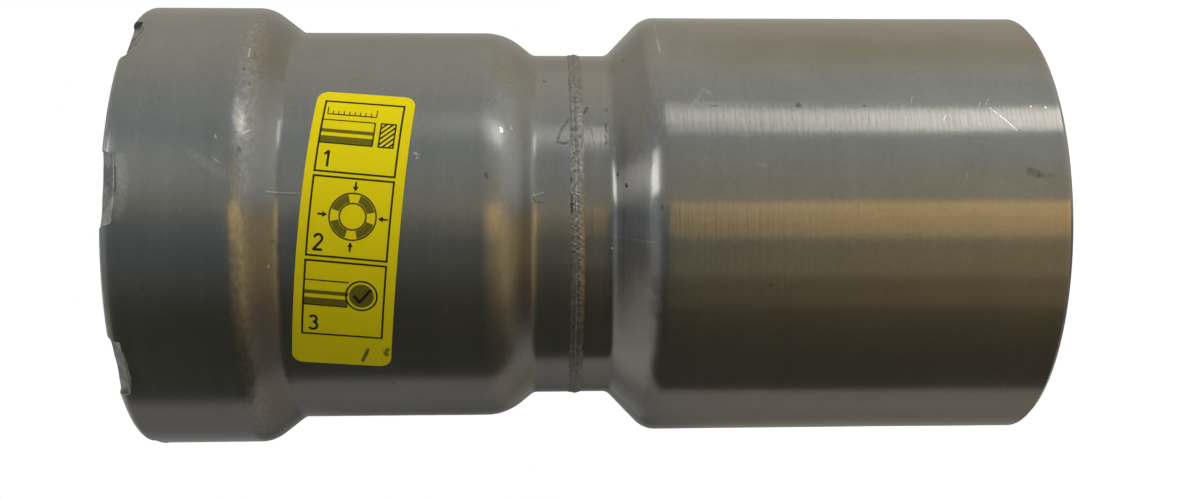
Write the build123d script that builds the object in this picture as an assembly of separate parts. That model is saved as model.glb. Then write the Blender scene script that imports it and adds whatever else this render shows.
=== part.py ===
# Press fitting reducer in zinc-coated steel: a plain pipe end on one side, a smaller press socket on the other.
# All sizes are millimetres. The fitting stands on its plain end, with +Z up its axis to the socket's mouth.
from build123d import *
import os
from math import atan2, cos, degrees, radians, sin, tan

# Pipe sizes that the two ends are made for
spigot_diameter = 60.3
socket_pipe_diameter = 48.3

# Tube walls and the room that a pipe has in the socket
wall = 3.2
bead_wall = 3.1
pipe_room = 0.55
stop_overlap = 2.7

# Spigot, from its plain end upwards
spigot_straight = 54.1
swage_rise = 5.3
swage_radius = 3.9
swage_foot_radius = 1.5
end_chamfer = 0.5
bore_chamfer = 0.3

# Neck and weld
spigot_neck = 4.8
socket_neck = 5.8
root_gap = 1.0
weld_width = 1.9
weld_crown = 0.35
weld_root_width = 1.5
weld_root = 0.2

# Socket, from its neck upwards
stop_rise = 4.0
stop_radius = 8.0
stop_foot_radius = 1.5
body_straight = 28.9
bead_rise = 4.5
bead_step = 3.5
shoulder_radius = 4.5
shoulder_foot_radius = 1.5
lip_radius = 1.2
lip_bevel = 0.4
lip_depth = 3.4

# Rings in the bead
ring_clearance = 0.1
ring_room = 0.4
seal_height = 4.6
seal_foot = 2.4
seal_corner = 0.6
seal_crest_radius = 0.3
seal_groove = 0.8
separator_thickness = 1.2
grip_height = 6.4
grip_bevel = 0.9

# Teeth of the grip ring
tooth_rows = 3
tooth_depth = 0.7
tooth_lead = 0.55
slot_count = 20
slot_width = 1.1
slot_depth = 1.5
split_width = 3.0

# Stakes that the lip is struck with to keep the rings in
stake_count = 8
stake_first_angle = 15.0
stake_width = 10.0
stake_reach = 2.0
stake_slope = 45.0
nub_height = 0.9
nub_width = 8.0

# Label
label_width = 12.9
label_length = 38.6
label_corner = 1.5
label_thickness = 0.12
label_lean = 5.5
label_angle = -85.3
label_drop = 9.3

# Radii that follow from the sizes above
spigot_radius = spigot_diameter / 2
bore_radius = socket_pipe_diameter / 2 + pipe_room
body_radius = bore_radius + wall
neck_bore = socket_pipe_diameter / 2 - stop_overlap
neck_radius = neck_bore + wall
bead_radius = body_radius + bead_step
chamber_radius = bead_radius - bead_wall
ring_outer = chamber_radius - ring_clearance
ring_inner = socket_pipe_diameter / 2 + ring_room

# Heights of the corners of the tubes' outlines
swage_bottom = spigot_straight
swage_top = swage_bottom + swage_rise
weld_height = swage_top + spigot_neck
stop_bottom = weld_height + socket_neck
stop_top = stop_bottom + stop_rise
bead_bottom = stop_top + body_straight
bead_top = bead_bottom + bead_rise


def slope(rise, step):
    """Angle between the axis and a cone that changes radius by step over its rise."""
    return atan2(abs(step), rise)


def lag(thickness, angle):
    """How far a wall's inner corner lies along the axis from its outer corner."""
    return thickness * tan(angle / 2)


swage_angle = slope(swage_rise, spigot_radius - neck_radius)
stop_angle = slope(stop_rise, body_radius - neck_radius)
bead_angle = slope(bead_rise, bead_step)

# Heights of the rings, stacked from the floor of the bead's chamber to its mouth
chamber_floor = bead_top + lag(wall, bead_angle)
seal_top = chamber_floor + seal_height
separator_bottom = seal_top + ring_clearance
separator_top = separator_bottom + separator_thickness
grip_bottom = separator_top + ring_clearance
grip_top = grip_bottom + grip_height
lip_bottom = grip_top + ring_clearance
mouth_height = lip_bottom + lip_depth


def turned(corners, radii):
    """Solid turned about Z from the (radius, height) corners of its section and a fillet for each."""
    section = make_face(FilletPolyline(*corners, radius=radii, close=True))
    return revolve(Plane.XZ * section, Axis.Z)


def around(shape, angle):
    """The shape turned about the axis by an angle in degrees."""
    return Rot(0, 0, angle) * shape


def make_spigot_body():
    """Tube with a square plain end that is swaged down to the neck."""
    inner_lag = lag(wall, swage_angle)
    neck_end = weld_height - root_gap / 2
    corners = [
        (spigot_radius - end_chamfer, 0),
        (spigot_radius, end_chamfer),
        (spigot_radius, swage_bottom),
        (neck_radius, swage_top),
        (neck_radius, neck_end),
        (neck_bore, neck_end),
        (neck_bore, swage_top - inner_lag),
        (spigot_radius - wall, swage_bottom - inner_lag),
        (spigot_radius - wall, bore_chamfer),
        (spigot_radius - wall + bore_chamfer, 0),
    ]
    outer = [0, 0, swage_radius, swage_foot_radius, 0]
    inner = [0, swage_foot_radius + wall, max(swage_radius - wall, 0), 0, 0]
    return turned(corners, outer + inner)


def make_socket_tube():
    """Tube that opens from the neck to the pipe stop, the socket and the bead."""
    neck_end = weld_height + root_gap / 2
    stop_lag = lag(wall, stop_angle)
    bead_lag = lag(wall, bead_angle)
    corners = [
        (neck_radius, neck_end),
        (neck_radius, stop_bottom),
        (body_radius, stop_top),
        (body_radius, bead_bottom),
        (bead_radius, bead_top),
        (bead_radius, mouth_height),
        (chamber_radius + lip_bevel, mouth_height),
        (chamber_radius, mouth_height - lip_bevel),
        (chamber_radius, bead_top + bead_lag),
        (bore_radius, bead_bottom + bead_lag),
        (bore_radius, stop_top + stop_lag),
        (neck_bore, stop_bottom + stop_lag),
        (neck_bore, neck_end),
    ]
    outer = [0, stop_foot_radius, stop_radius, shoulder_foot_radius, shoulder_radius, lip_radius]
    inner = [0, 0, 0, shoulder_foot_radius + wall, max(stop_radius - wall, 0), stop_foot_radius + wall, 0]
    return turned(corners, outer + inner)


def make_stake_cut():
    """Space left by the round punch that strikes the lip's outer edge, on the +X side."""
    direction = (cos(radians(stake_slope)), 0, sin(radians(stake_slope)))
    reach_in = stake_reach * tan(radians(stake_slope))
    seat = Plane(origin=(bead_radius - reach_in, 0, mouth_height), x_dir=(0, 1, 0), z_dir=direction)
    return seat * Cylinder(stake_width / 2, stake_width, align=(Align.CENTER, Align.CENTER, Align.MIN))


def make_stake_nub():
    """Metal that the punch drives into the chamber, over the edge of the grip ring."""
    arc = degrees(nub_width / chamber_radius)
    root = chamber_radius + bead_wall / 4
    crest = chamber_radius - nub_height
    section = Polyline(
        (root, lip_bottom),
        (chamber_radius, lip_bottom),
        (crest, lip_bottom + lip_depth / 3),
        (crest, lip_bottom + lip_depth / 2),
        (chamber_radius, mouth_height - lip_bevel),
        (root, mouth_height - lip_bevel),
        close=True,
    )
    nub = revolve(Plane.XZ * make_face(section), Axis.Z, revolution_arc=arc)
    return around(nub, -arc / 2)


def make_socket_body():
    """Socket tube with its lip staked at even steps round the mouth."""
    body = make_socket_tube()
    step = 360 / stake_count
    angles = [stake_first_angle + step * index for index in range(stake_count)]
    body += [around(make_stake_nub(), angle) for angle in angles]
    body -= [around(make_stake_cut(), angle) for angle in angles]
    return body


def make_weld_bead():
    """Butt weld between the two necks, with a low crown outside and a small root inside."""
    half_gap = root_gap / 2
    half_crown = weld_width / 2
    half_root = weld_root_width / 2
    inner = neck_bore
    crown = ThreePointArc(
        (neck_radius, weld_height - half_crown),
        (neck_radius + weld_crown, weld_height),
        (neck_radius, weld_height + half_crown),
    )
    upper_flank = Polyline(
        (neck_radius, weld_height + half_crown),
        (neck_radius, weld_height + half_gap),
        (inner, weld_height + half_gap),
        (inner, weld_height + half_root),
    )
    root = ThreePointArc(
        (inner, weld_height + half_root),
        (inner - weld_root, weld_height),
        (inner, weld_height - half_root),
    )
    lower_flank = Polyline(
        (inner, weld_height - half_root),
        (inner, weld_height - half_gap),
        (neck_radius, weld_height - half_gap),
        (neck_radius, weld_height - half_crown),
    )
    section = make_face(crown + upper_flank + root + lower_flank)
    return revolve(Plane.XZ * section, Axis.Z)


def make_sealing_element():
    """Rubber ring whose foot follows the bead's shoulder, with a groove between two sealing faces."""
    foot_bottom = chamber_floor - seal_foot
    foot_radius = ring_outer - seal_foot * tan(bead_angle)
    middle = (foot_bottom + seal_top) / 2
    corners = [
        (ring_inner + seal_corner, foot_bottom),
        (foot_radius, foot_bottom),
        (ring_outer, chamber_floor),
        (ring_outer, seal_top),
        (ring_inner + seal_corner, seal_top),
        (ring_inner, middle + seal_groove),
        (ring_inner + seal_groove, middle),
        (ring_inner, middle - seal_groove),
    ]
    crest = seal_crest_radius
    return turned(corners, [0, 0, 0, 0, 0, crest, 0, crest])


def make_separator_ring():
    """Flat steel ring that keeps the teeth off the rubber."""
    corners = [
        (ring_inner + ring_clearance, separator_bottom),
        (ring_outer, separator_bottom),
        (ring_outer, separator_top),
        (ring_inner + ring_clearance, separator_top),
    ]
    return turned(corners, [0] * len(corners))


def make_grip_ring():
    """Split ring with rows of teeth, cut into blocks by slots along its bore."""
    pitch = grip_height / tooth_rows
    valley = ring_inner + tooth_depth
    corners = [
        (valley, grip_bottom),
        (ring_outer - grip_bevel, grip_bottom),
        (ring_outer, grip_bottom + grip_bevel),
        (ring_outer, grip_top - grip_bevel / 2),
        (ring_outer - grip_bevel / 2, grip_top),
        (valley, grip_top),
    ]
    for row in reversed(range(tooth_rows)):
        row_bottom = grip_bottom + row * pitch
        corners.append((ring_inner, row_bottom + pitch * tooth_lead))
        if row > 0:
            corners.append((valley, row_bottom))
    ring = revolve(Plane.XZ * make_face(Polyline(*corners, close=True)), Axis.Z)
    through = 2 * grip_height
    middle = (grip_bottom + grip_top) / 2
    slot = Pos(ring_inner, 0, middle) * Box(2 * slot_depth, slot_width, through)
    split = Pos(ring_outer, 0, middle) * Box(ring_outer, split_width, through)
    step = 360 / slot_count
    cuts = [around(slot, step * index) for index in range(1, slot_count)]
    return around(ring - [split, *cuts], stake_first_angle + 180)


def bent(point):
    """Where a point of the flat label lies, seen square on, once the label is wrapped round the body."""
    return (point.X, body_radius * sin(point.Y / body_radius))


def make_instruction_label():
    """Sticker wrapped part of the way round the socket's body, a little out of square."""
    flat = Rot(0, 0, label_lean) * RectangleRounded(label_width, label_length, label_corner)
    shares = (0, 0.25, 0.5, 0.75, 1)
    outline = [Spline(*[bent(edge @ share) for share in shares]) for edge in flat.edges()]
    outward = (cos(radians(label_angle)), sin(radians(label_angle)), 0)
    seat = Plane(origin=(0, 0, bead_bottom - label_drop), x_dir=(0, 0, 1), z_dir=outward)
    seen = extrude(seat * make_face(outline), bead_radius)
    foot = Pos(0, 0, stop_top)
    low = (Align.CENTER, Align.CENTER, Align.MIN)
    skin = Cylinder(body_radius + label_thickness, body_straight, align=low)
    skin -= Cylinder(body_radius, body_straight, align=low)
    return (foot * skin) & seen


makers = {
    "spigot_body": make_spigot_body,
    "socket_body": make_socket_body,
    "weld_bead": make_weld_bead,
    "sealing_element": make_sealing_element,
    "separator_ring": make_separator_ring,
    "grip_ring": make_grip_ring,
    "instruction_label": make_instruction_label,
}

os.makedirs("parts", exist_ok=True)
for name, maker in makers.items():
    export_step(maker(), f"parts/{name}.step")
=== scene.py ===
from math import atan2, ceil, cos, degrees, exp, pi, radians, sin, sqrt, tan

import bmesh
import bpy
import numpy as np
from mathutils import Matrix, Vector, noise


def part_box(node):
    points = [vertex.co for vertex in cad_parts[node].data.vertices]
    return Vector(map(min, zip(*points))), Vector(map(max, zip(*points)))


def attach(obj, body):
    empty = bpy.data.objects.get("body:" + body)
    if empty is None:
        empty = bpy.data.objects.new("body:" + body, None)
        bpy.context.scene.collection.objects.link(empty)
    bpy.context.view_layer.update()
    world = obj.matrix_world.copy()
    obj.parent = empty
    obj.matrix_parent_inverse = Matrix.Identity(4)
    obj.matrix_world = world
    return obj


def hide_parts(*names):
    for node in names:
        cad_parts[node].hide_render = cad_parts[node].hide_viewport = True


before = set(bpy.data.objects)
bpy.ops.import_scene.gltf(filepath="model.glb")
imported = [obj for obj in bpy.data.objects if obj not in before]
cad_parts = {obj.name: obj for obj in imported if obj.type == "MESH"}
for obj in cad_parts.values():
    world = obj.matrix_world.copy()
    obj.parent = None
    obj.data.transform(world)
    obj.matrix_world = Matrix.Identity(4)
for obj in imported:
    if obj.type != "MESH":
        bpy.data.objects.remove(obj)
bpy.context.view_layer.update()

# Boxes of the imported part, before anything is added or hidden
spigot_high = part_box("spigot_body")[1]
socket_low, socket_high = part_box("socket_body")
weld_low, weld_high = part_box("weld_bead")
grip_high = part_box("grip_ring")[1]
label_low, label_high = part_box("instruction_label")

# All lengths below are metres
MM = 0.001

# Outlines of the tubes
wall = 3.2 * MM
bead_wall = 3.1 * MM
spigot_radius = spigot_high.x
bead_radius = socket_high.x
mouth_height = socket_high.z
weld_height = (weld_low.z + weld_high.z) / 2
weld_crown = 0.35 * MM
neck_radius = weld_high.x - weld_crown
body_radius = 27.9 * MM
swage_bottom = 54.1 * MM
swage_top = 59.4 * MM
swage_radius = 3.9 * MM
swage_foot_radius = 1.5 * MM
stop_bottom = weld_height + 5.8 * MM
stop_top = stop_bottom + 4.0 * MM
stop_radius = 8.0 * MM
stop_foot_radius = 1.5 * MM
bead_bottom = stop_top + 28.9 * MM
bead_top = bead_bottom + 4.5 * MM
shoulder_radius = 4.5 * MM
shoulder_foot_radius = 1.5 * MM
lip_radius = 1.2 * MM
end_chamfer = 0.5 * MM
bore_chamfer = 0.3 * MM
chamber_radius = bead_radius - bead_wall

# Stakes struck into the lip
stake_count = 8
stake_first_angle = 15.0
stake_width = 10.0 * MM
stake_reach = 2.0 * MM
nub_height = 0.9 * MM
nub_width = 8.0 * MM
punch_dome = 0.35 * MM
burr_girth = 0.07 * MM

# Depth of the waves that forming leaves, and how far each shell is set into its solid to make room for them
spigot_sway = 0.008 * MM
swage_chatter = 0.010 * MM
spigot_inset = 0.012 * MM
socket_sway = 0.006 * MM
socket_rings = 0.004 * MM
bead_crinkle = 0.012 * MM
socket_inset = 0.014 * MM
ripple_depth = 0.010 * MM
pool_depth = 0.052 * MM
swell_depth = 0.02 * MM
weld_inset = 0.16 * MM

# Angles between which the weld is rough and has painted shade in its crevice, and where its ripple is deepest
rough_weld = (-96, -50)
darkened_weld = (-91, -63)
deepest_ripple = 298
ripple_spread = 34

# Angles between which the plain end's brushed lines catch the light, and where their streaks are painted into
# the colour as highlight
brushed_glint_strip = (-58.8, -52.3)

# Label on the socket's body
label_angle = -85.3
label_middle = (label_low.z + label_high.z) / 2
label_lean = 5.5
label_width = 12.9 * MM
label_length = 38.6 * MM
label_corner = 1.5 * MM
label_thickness = 0.12 * MM

# Shades of the wear, the heat tint, the marks and the dirt; some also stand in for light, as painted
# highlight on worn edges and one spot of the body, and as painted shade over the bead and in the weld's
# crevice
rubbed_sheen_steel = (0.46, 0.44, 0.40, 1)
heat_tint_and_shade_steel = (0.150, 0.138, 0.128, 1)
hairline_steel = (0.55, 0.54, 0.50, 1)
scratch_and_glint_steel = (0.64, 0.62, 0.58, 1)
pit_shade = (0.045, 0.042, 0.036, 1)
stain_shade = (0.045, 0.038, 0.028, 1)
weld_shade_and_speck = (0.03, 0.027, 0.021, 1)
label_dirt = (0.10, 0.085, 0.01, 1)

# Marks of use, and on the socket one painted highlight spot: the (degrees, mm) places that each runs through,
# its width and soft edge in mm, its strength
spigot_scratches = (
    (((-53.5, 9.8), (-56.5, 8.3), (-59.9, 6.7)), 0.06, 0.09, 0.5),
    (((-51.7, 11.0), (-52.9, 11.2)), 0.06, 0.08, 0.35),
    (((-50.7, 9.8), (-52.3, 10.2)), 0.06, 0.08, 0.35),
    (((-52.9, 4.3), (-53.1, 4.3)), 0.14, 0.10, 0.9),
    (((-53.2, 2.4), (-53.4, 2.3)), 0.14, 0.10, 0.7),
    (((-49.8, 19.9), (-52.0, 20.2)), 0.05, 0.08, 0.25),
    (((-55.6, 15.8), (-57.1, 16.3)), 0.05, 0.10, 0.22),
    (((-71.0, 13.9), (-73.0, 14.1)), 0.05, 0.10, 0.18),
    (((-51.4, 48.7), (-47.6, 47.6), (-49.2, 46.5)), 0.25, 0.30, 0.09),
    (((-68.6, 41.1), (-69.7, 40.1)), 0.18, 0.25, 0.08),
    (((-26.6, 53.0), (-32.9, 52.8)), 0.12, 0.18, 0.2),
    (((-16.0, 53.0), (-20.5, 52.9)), 0.14, 0.16, 0.22),
    (((-87.4, 59.7), (-88.3, 54.6)), 0.04, 0.08, 0.22),
    (((-90.9, 59.7), (-91.2, 59.7)), 0.14, 0.08, 0.9),
    (((-92.8, 63.3), (-93.0, 63.3)), 0.12, 0.08, 0.8),
    (((-108.6, 50.9), (-108.9, 50.9)), 0.08, 0.08, 0.6),
)
spigot_stains = (
    (((-52.6, 35.3), (-52.8, 35.2)), 0.42, 0.35, 0.6),
    (((-70.9, 5.6), (-71.5, 4.6)), 0.70, 0.40, 0.42),
    (((-71.8, 4.3), (-72.1, 2.5)), 0.20, 0.40, 0.25),
    (((-68.3, 58.9), (-68.9, 58.9)), 0.16, 0.10, 0.85),
    (((-72.2, 57.9), (-73.0, 57.8)), 0.22, 0.12, 0.85),
    (((-25.7, 57.5), (-26.5, 57.4)), 0.22, 0.12, 0.8),
    (((-44.6, 60.1), (-45.4, 60.15)), 0.16, 0.20, 0.4),
    (((-50.6, 60.2), (-52.4, 60.35), (-53.6, 60.2)), 0.14, 0.18, 0.6),
    (((-55.2, 60.35), (-57.0, 60.2), (-58.4, 60.4)), 0.12, 0.16, 0.6),
    (((-97.9, 54.5), (-100.8, 54.3)), 0.35, 0.50, 0.3),
    (((-104.2, 54.5), (-107.2, 54.3)), 0.60, 0.70, 0.3),
    (((-79.5, 53.6), (-79.8, 53.6)), 0.25, 0.15, 0.5),
    (((-52.9, 46.8), (-52.9, 46.0)), 0.10, 0.10, 0.5),
    (((-56.5, 26.1), (-59.3, 26.4)), 0.05, 0.06, 0.4),
    (((-52.9, 26.6), (-52.9, 26.2)), 0.14, 0.10, 0.7),
    (((-47.2, 64.0), (-46.3, 63.1), (-44.2, 62.7)), 0.22, 0.18, 0.75),
    (((-53.0, 63.2), (-52.3, 62.3), (-60.2, 61.7)), 0.06, 0.10, 0.35),
)
socket_scratches_and_glint = (
    (((-62.3, 110.2), (-62.8, 110.1)), 0.12, 0.10, 0.5),
    (((-67.9, 110.3), (-69.1, 109.4)), 0.07, 0.10, 0.4),
    (((-66.7, 113.2), (-72.5, 108.3)), 0.50, 0.50, 0.07),
    (((-61.2, 106.7), (-60.2, 106.2)), 0.12, 0.12, 0.5),
    (((-35.0, 107.4), (-38.2, 107.4)), 0.08, 0.10, 0.4),
    (((-94.2, 103.8), (-94.4, 103.8)), 0.12, 0.10, 0.7),
    (((-74.9, 104.1), (-75.2, 99.8)), 0.04, 0.06, 0.45),
    (((-64.2, 85.3), (-65.0, 84.7), (-65.6, 85.0)), 0.14, 0.18, 0.5),
    (((-75.0, 70.3), (-73.8, 68.6)), 0.06, 0.10, 0.4),
    # Painted highlight: the bright spot of reflected light on the body's shoulder
    (((-56.3, 74.2), (-57.2, 74.15)), 0.22, 0.22, 0.8),
    (((-55.0, 73.0), (-55.8, 72.8)), 0.10, 0.20, 0.3),
    (((-68.0, 121.7), (-74.0, 121.3), (-81.0, 121.7)), 0.40, 0.90, 0.16),
)
socket_stains = (
    (((-42.6, 107.7), (-42.8, 107.6)), 0.20, 0.15, 0.6),
    (((-46.9, 106.8), (-47.2, 106.7)), 0.20, 0.15, 0.6),
    (((-65.3, 107.2), (-65.9, 107.1)), 0.26, 0.16, 0.6),
    (((-75.6, 104.1), (-75.8, 100.2)), 0.04, 0.06, 0.45),
    (((-64.8, 84.9), (-65.4, 84.4)), 0.10, 0.12, 0.6),
    (((-70.1, 76.1), (-70.9, 76.0)), 0.22, 0.25, 0.5),
    (((-47.2, 75.8), (-47.4, 75.8)), 0.12, 0.10, 0.4),
    (((-57.0, 66.8), (-54.1, 66.4), (-51.9, 66.0), (-48.4, 65.0)), 0.18, 0.20, 0.6),
    (((-57.4, 66.7), (-57.9, 66.0), (-57.4, 65.4)), 0.26, 0.20, 0.65),
    (((-22.2, 65.5), (-22.4, 65.5)), 0.16, 0.10, 0.6),
    (((-75.3, 70.1), (-76.8, 69.7), (-77.2, 68.7)), 0.07, 0.10, 0.7),
)
label_marks = (
    (((-119.5, 91.8), (-123.5, 92.6)), 0.20, 0.25, 1.0),
    (((-119.5, 89.2), (-120.6, 89.6), (-121.4, 89.4)), 0.24, 0.30, 0.95),
)

# Camera, level with the fitting's middle and looking square at its axis
focal_length = 44.07
camera_distance = 217.4 * MM
camera_height = 60.1 * MM
camera_azimuth = 6.5
camera_turn = 2.75
camera_roll = 0.2
lens_drop = -0.022

# Surroundings
world_light = 0.25
floor_reach = 3.0
floor_glow = 1.88
tent_radius = 0.6


class Signal:
    """A socket in a node tree. Operators on it add the nodes that work the sum out."""

    def __init__(self, wiring, socket):
        self.wiring = wiring
        self.socket = socket

    def __add__(self, other):
        return self.wiring.maths("ADD", self, other)

    def __radd__(self, other):
        return self.wiring.maths("ADD", other, self)

    def __sub__(self, other):
        return self.wiring.maths("SUBTRACT", self, other)

    def __rsub__(self, other):
        return self.wiring.maths("SUBTRACT", other, self)

    def __mul__(self, other):
        return self.wiring.maths("MULTIPLY", self, other)

    def __rmul__(self, other):
        return self.wiring.maths("MULTIPLY", other, self)

    def __truediv__(self, other):
        return self.wiring.maths("DIVIDE", self, other)


class Wiring:
    """A node tree that is filled by a few short calls."""

    def __init__(self, tree):
        self.tree = tree

    def node(self, kind, settings, inputs, output=0):
        made = self.tree.nodes.new(kind)
        for key, value in settings.items():
            setattr(made, key, value)
        for key, value in inputs.items():
            if isinstance(value, Signal):
                self.tree.links.new(value.socket, made.inputs[key])
            else:
                made.inputs[key].default_value = value
        return Signal(self, made.outputs[output])

    def maths(self, operation, *values):
        return self.node("ShaderNodeMath", {"operation": operation}, dict(enumerate(values)))

    def blend(self, factor, first, second, mode="MIX"):
        """Colour between two colours."""
        settings = {"data_type": "RGBA", "blend_type": mode}
        return self.node("ShaderNodeMix", settings, {0: factor, 6: first, 7: second}, 2)

    def stretch(self, vector, scales):
        """Vector with each of its parts multiplied."""
        return self.node("ShaderNodeVectorMath", {"operation": "MULTIPLY"}, {0: vector, 1: scales})

    def smooth(self, value, start, end, low=0.0, high=1.0):
        """Value that runs smoothly from low to high between start and end."""
        settings = {"interpolation_type": "SMOOTHSTEP"}
        inputs = {0: value, 1: start, 2: end, 3: low, 4: high}
        return self.node("ShaderNodeMapRange", settings, inputs)

    def window(self, value, start, end, soft):
        """One between start and end, and nought beyond, with soft edges."""
        rise = self.smooth(value, start - soft, start + soft)
        return rise * self.smooth(value, end - soft, end + soft, 1.0, 0.0)

    def noise(self, vector, scale, detail=2.0, roughness=0.5):
        inputs = {"Vector": vector, "Scale": scale, "Detail": detail, "Roughness": roughness}
        return self.node("ShaderNodeTexNoise", {}, inputs)

    def ramp(self, bearing, stops):
        """Colour that runs through (degrees, colour) stops from half a turn below nought to half above."""
        made = self.tree.nodes.new("ShaderNodeValToRGB")
        first, *middle, last = [(place / 360 + 0.5, (*colour, 1)) for place, colour in stops]
        marks = made.color_ramp.elements
        marks[0].position, marks[0].color = first
        marks[1].position, marks[1].color = last
        for place, colour in middle:
            marks.new(place).color = colour
        self.link(bearing / 360 + 0.5, made.inputs[0])
        return Signal(self, made.outputs[0])

    def link(self, signal, socket):
        self.tree.links.new(signal.socket, socket)


class Finish(Wiring):
    """A material with one principled shader."""

    def __init__(self, name, **constants):
        self.material = bpy.data.materials.new(name)
        self.material.use_nodes = True
        super().__init__(self.material.node_tree)
        self.shader = self.tree.nodes["Principled BSDF"]
        for socket, value in constants.items():
            self.shader.inputs[socket.replace("_", " ")].default_value = value
        self.place = self.node("ShaderNodeTexCoord", {}, {}, "Object")
        self.x = self.node("ShaderNodeSeparateXYZ", {}, {0: self.place}, 0)
        self.y = self.node("ShaderNodeSeparateXYZ", {}, {0: self.place}, 1)
        self.height = self.node("ShaderNodeSeparateXYZ", {}, {0: self.place}, 2)
        self.angle = self.maths("ARCTAN2", self.y, self.x)

    def feed(self, **signals):
        for socket, signal in signals.items():
            self.link(signal, self.shader.inputs[socket.replace("_", " ")])

    def bump(self, relief, distance, strength=1.0):
        inputs = {"Strength": strength, "Distance": distance, "Height": relief}
        self.feed(Normal=self.node("ShaderNodeBump", {}, inputs))

    def between(self, angles, soft):
        """One between two angles in degrees round the fitting, and nought beyond, with soft edges."""
        return self.window(self.angle, radians(angles[0]), radians(angles[1]), radians(soft))

    def streaks(self, around, along, detail=2.0):
        """Noise drawn out round the fitting: features of these two lengths."""
        scaled = self.stretch(self.place, (1 / around, 1 / around, 1 / along))
        return self.noise(scaled, 1.0, detail)


def capsule(finish, radius, start, end, width, soft):
    """One along a line between two (degrees, mm) places on a tube of this radius, nought away from it."""
    arc_start = radians(start[0]) * radius
    low_start = start[1] * MM
    run = radians(end[0]) * radius - arc_start
    rise = end[1] * MM - low_start
    across = finish.angle * radius - arc_start
    above = finish.height - low_start
    along = (across * run + above * rise) / (run * run + rise * rise + 1e-12)
    share = finish.node("ShaderNodeClamp", {}, {0: along})
    off_across = across - share * run
    off_above = above - share * rise
    distance = finish.maths("SQRT", off_across * off_across + off_above * off_above)
    return finish.smooth(distance, width * MM / 2, width * MM / 2 + soft * MM, 1.0, 0.0)


def trail(finish, radius, places, width, soft):
    """One along a line through several places, nought away from it."""
    runs = [capsule(finish, radius, start, end, width, soft) for start, end in zip(places, places[1:])]
    cover = runs[0]
    for run in runs[1:]:
        cover = finish.maths("MAXIMUM", cover, run)
    return cover


def marked(finish, colour, marks, radius, shade, broken):
    """The colour with each mark of a list laid over it in one shade, thinner where the mask is low."""
    for places, width, soft, strength in marks:
        colour = finish.blend(strength * broken * trail(finish, radius, places, width, soft), colour, shade)
    return colour


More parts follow.
